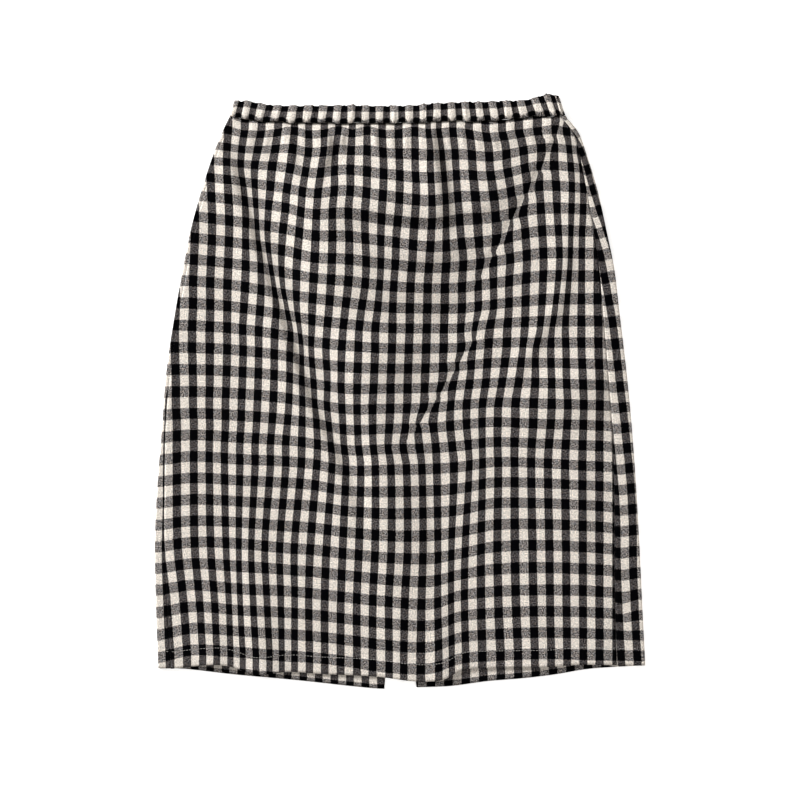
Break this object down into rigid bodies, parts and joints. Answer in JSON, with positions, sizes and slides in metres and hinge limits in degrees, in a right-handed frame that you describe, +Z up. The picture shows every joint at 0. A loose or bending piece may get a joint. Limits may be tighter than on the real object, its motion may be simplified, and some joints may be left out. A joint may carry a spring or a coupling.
{
  "type": "gathered gingham skirt, laid flat",
  "caption": "Knee-length pull-on skirt in woven gingham with a gathered elastic waistband and a centre-back slit, laid flat, front up.",
  "frame": {"origin": "middle of the outline, on the surface that the skirt lies on", "axes": "+X to the right seen from above with the waist up, +Y from the hem to the waistband, +Z up from the surface"},
  "size_m": [0.5148, 0.624, 0.0112],
  "materials": {
    "gingham": "matte plain weave, black and ecru gingham checks, slightly slubby",
    "thread": "matte ecru sewing thread"
  },
  "bodies": {
    "root": {"front_panel": "gingham", "back_left_panel": "gingham", "back_right_panel": "gingham", "waistband_front": "gingham", "waistband_back": "gingham"}
  },
  "joints": []
}
